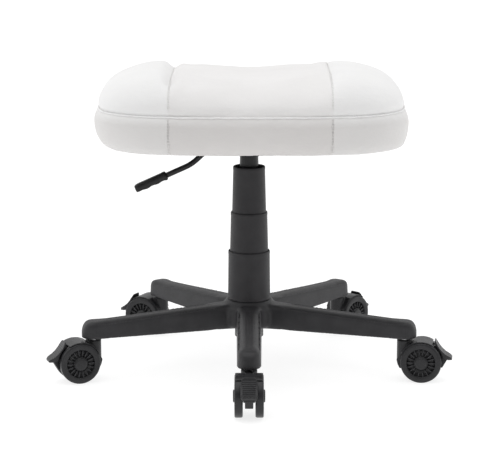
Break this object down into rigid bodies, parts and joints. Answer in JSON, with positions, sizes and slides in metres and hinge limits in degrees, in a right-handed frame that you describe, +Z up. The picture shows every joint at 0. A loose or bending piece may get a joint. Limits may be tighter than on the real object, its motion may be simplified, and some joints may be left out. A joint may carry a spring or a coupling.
{
  "type": "pedicure stool",
  "caption": "Low height-adjustable stool with a white padded saddle seat on a telescoping gas lift, a star base and braked twin-wheel casters.",
  "frame": {"origin": "middle of the footprint, on the floor; the column's axis stands 28.5 mm behind it", "axes": "+Z up, the front of the stool (the leg that points at the viewer) towards -Y, +X to the right seen from the front"},
  "size_m": [0.6002, 0.5664, 0.4584],
  "materials": {
    "leather": "satin",
    "foam": "matte",
    "plywood": "matte",
    "fleece": "matte",
    "black_steel": "satin",
    "bright_steel": "satin",
    "nylon": "matte",
    "wheel_nylon": "satin"
  },
  "bodies": {
    "base": {"base_star": "nylon", "column_tube": "black_steel", "column_bushing": "nylon", "thrust_bearing": "bright_steel", "sleeve_lower": "nylon", "front_caster_stem": "bright_steel", "right_front_caster_stem": "bright_steel", "right_rear_caster_stem": "bright_steel", "left_rear_caster_stem": "bright_steel", "left_front_caster_stem": "bright_steel"},
    "rod": {"piston_rod": "bright_steel", "retaining_clip": "bright_steel"},
    "seat": {"gas_cylinder": "black_steel", "taper_socket": "black_steel", "mounting_plate": "black_steel", "lever_pin": "bright_steel", "underside_cover": "fleece", "seat_board": "plywood", "seat_foam": "foam", "seat_cover": "leather", "plate_bolt_1": "bright_steel", "plate_bolt_2": "bright_steel", "plate_bolt_3": "bright_steel", "plate_bolt_4": "bright_steel"},
    "cover_middle": {"sleeve_middle": "nylon"},
    "cover_upper": {"sleeve_upper": "nylon"},
    "lever": {"lever_rod": "black_steel", "lever_grip": "nylon"},
    "button": {"release_button": "bright_steel"},
    "front_caster": {"front_caster_hood": "nylon", "front_caster_axle": "bright_steel", "front_brake_pin": "bright_steel"},
    "front_left_wheel": {"front_wheel_left": "wheel_nylon"},
    "front_right_wheel": {"front_wheel_right": "wheel_nylon"},
    "front_pedal": {"front_brake_pedal": "nylon"},
    "right_front_caster": {"right_front_caster_hood": "nylon", "right_front_caster_axle": "bright_steel", "right_front_brake_pin": "bright_steel"},
    "right_front_left_wheel": {"right_front_wheel_left": "wheel_nylon"},
    "right_front_right_wheel": {"right_front_wheel_right": "wheel_nylon"},
    "right_front_pedal": {"right_front_brake_pedal": "nylon"},
    "right_rear_caster": {"right_rear_caster_hood": "nylon", "right_rear_caster_axle": "bright_steel", "right_rear_brake_pin": "bright_steel"},
    "right_rear_left_wheel": {"right_rear_wheel_left": "wheel_nylon"},
    "right_rear_right_wheel": {"right_rear_wheel_right": "wheel_nylon"},
    "right_rear_pedal": {"right_rear_brake_pedal": "nylon"},
    "left_rear_caster": {"left_rear_caster_hood": "nylon", "left_rear_caster_axle": "bright_steel", "left_rear_brake_pin": "bright_steel"},
    "left_rear_left_wheel": {"left_rear_wheel_left": "wheel_nylon"},
    "left_rear_right_wheel": {"left_rear_wheel_right": "wheel_nylon"},
    "left_rear_pedal": {"left_rear_brake_pedal": "nylon"},
    "left_front_caster": {"left_front_caster_hood": "nylon", "left_front_caster_axle": "bright_steel", "left_front_brake_pin": "bright_steel"},
    "left_front_left_wheel": {"left_front_wheel_left": "wheel_nylon"},
    "left_front_right_wheel": {"left_front_wheel_right": "wheel_nylon"},
    "left_front_pedal": {"left_front_brake_pedal": "nylon"}
  },
  "joints": [
    {"name": "seat_swivel", "type": "hinge", "parent": "base", "child": "rod", "pos_m": [0, 0.0285, 0.055], "axis": [0, 0, 1], "continuous": true},
    {"name": "seat_lift", "type": "slide", "parent": "rod", "child": "seat", "axis": [0, 0, 1], "range_m": [-0.1, 0], "stiffness_N_per_m": 400, "springref_m": 0.3},
    {"name": "cover_middle_slide", "type": "slide", "parent": "base", "child": "cover_middle", "axis": [0, 0, 1], "range_m": [-0.046, 0]},
    {"name": "cover_upper_slide", "type": "slide", "parent": "base", "child": "cover_upper", "axis": [0, 0, 1], "range_m": [-0.091, 0]},
    {"name": "lever_lift", "type": "hinge", "parent": "seat", "child": "lever", "pos_m": [-0.03, 0.0285, 0.3355], "axis": [0, 1, 0], "range_deg": [0, 6]},
    {"name": "button_press", "type": "slide", "parent": "seat", "child": "button", "axis": [0, 0, -1], "range_m": [0, 0.0037], "stiffness_N_per_m": 400, "springref_m": -0.004},
    {"name": "front_swivel", "type": "hinge", "parent": "base", "child": "front_caster", "pos_m": [0, -0.2129, 0.06], "axis": [0, 0, 1], "continuous": true},
    {"name": "front_left_roll", "type": "hinge", "parent": "front_caster", "child": "front_left_wheel", "pos_m": [0, -0.2379, 0.03], "axis": [1, 0, 0], "continuous": true},
    {"name": "front_right_roll", "type": "hinge", "parent": "front_caster", "child": "front_right_wheel", "pos_m": [0, -0.2379, 0.03], "axis": [1, 0, 0], "continuous": true},
    {"name": "front_brake_lift", "type": "hinge", "parent": "front_caster", "child": "front_pedal", "pos_m": [0, -0.2519, 0.049], "axis": [-1, 0, 0], "range_deg": [0, 16]},
    {"name": "right_front_swivel", "type": "hinge", "parent": "base", "child": "right_front_caster", "pos_m": [0.22959, -0.0461, 0.06], "axis": [0, 0, 1], "continuous": true},
    {"name": "right_front_left_roll", "type": "hinge", "parent": "right_front_caster", "child": "right_front_left_wheel", "pos_m": [0.25434, -0.04958, 0.03], "axis": [0.1392, 0.9903, 0], "continuous": true},
    {"name": "right_front_right_roll", "type": "hinge", "parent": "right_front_caster", "child": "right_front_right_wheel", "pos_m": [0.25434, -0.04958, 0.03], "axis": [0.1392, 0.9903, 0], "continuous": true},
    {"name": "right_front_brake_lift", "type": "hinge", "parent": "right_front_caster", "child": "right_front_pedal", "pos_m": [0.26821, -0.05152, 0.049], "axis": [-0.1392, -0.9903, 0], "range_deg": [0, 16]},
    {"name": "right_rear_swivel", "type": "hinge", "parent": "base", "child": "right_rear_caster", "pos_m": [0.14189, 0.2238, 0.06], "axis": [0, 0, 1], "continuous": true},
    {"name": "right_rear_left_roll", "type": "hinge", "parent": "right_rear_caster", "child": "right_rear_left_wheel", "pos_m": [0.15894, 0.24208, 0.03], "axis": [-0.7314, 0.682, 0], "continuous": true},
    {"name": "right_rear_right_roll", "type": "hinge", "parent": "right_rear_caster", "child": "right_rear_right_wheel", "pos_m": [0.15894, 0.24208, 0.03], "axis": [-0.7314, 0.682, 0], "continuous": true},
    {"name": "right_rear_brake_lift", "type": "hinge", "parent": "right_rear_caster", "child": "right_rear_pedal", "pos_m": [0.16849, 0.25232, 0.049], "axis": [0.7314, -0.682, 0], "range_deg": [0, 16]},
    {"name": "left_rear_swivel", "type": "hinge", "parent": "base", "child": "left_rear_caster", "pos_m": [-0.14189, 0.2238, 0.06], "axis": [0, 0, 1], "continuous": true},
    {"name": "left_rear_left_roll", "type": "hinge", "parent": "left_rear_caster", "child": "left_rear_left_wheel", "pos_m": [-0.16455, 0.23436, 0.03], "axis": [-0.4226, -0.9063, 0], "continuous": true},
    {"name": "left_rear_right_roll", "type": "hinge", "parent": "left_rear_caster", "child": "left_rear_right_wheel", "pos_m": [-0.16455, 0.23436, 0.03], "axis": [-0.4226, -0.9063, 0], "continuous": true},
    {"name": "left_rear_brake_lift", "type": "hinge", "parent": "left_rear_caster", "child": "left_rear_pedal", "pos_m": [-0.17724, 0.24028, 0.049], "axis": [0.4226, 0.9063, 0], "range_deg": [0, 16]},
    {"name": "left_front_swivel", "type": "hinge", "parent": "base", "child": "left_front_caster", "pos_m": [-0.22959, -0.0461, 0.06], "axis": [0, 0, 1], "continuous": true},
    {"name": "left_front_left_roll", "type": "hinge", "parent": "left_front_caster", "child": "left_front_left_wheel", "pos_m": [-0.25293, -0.05506, 0.03], "axis": [0.3584, -0.9336, 0], "continuous": true},
    {"name": "left_front_right_roll", "type": "hinge", "parent": "left_front_caster", "child": "left_front_right_wheel", "pos_m": [-0.25293, -0.05506, 0.03], "axis": [0.3584, -0.9336, 0], "continuous": true},
    {"name": "left_front_brake_lift", "type": "hinge", "parent": "left_front_caster", "child": "left_front_pedal", "pos_m": [-0.26599, -0.06007, 0.049], "axis": [-0.3584, 0.9336, 0], "range_deg": [0, 16]}
  ],
  "couplings": [
    {"joint": "cover_middle_slide", "follows": "seat_lift", "ratio": 0.45},
    {"joint": "cover_upper_slide", "follows": "seat_lift", "ratio": 0.9},
    {"joint": "button_press", "follows": "lever_lift", "m_per_rad": 0.034}
  ]
}
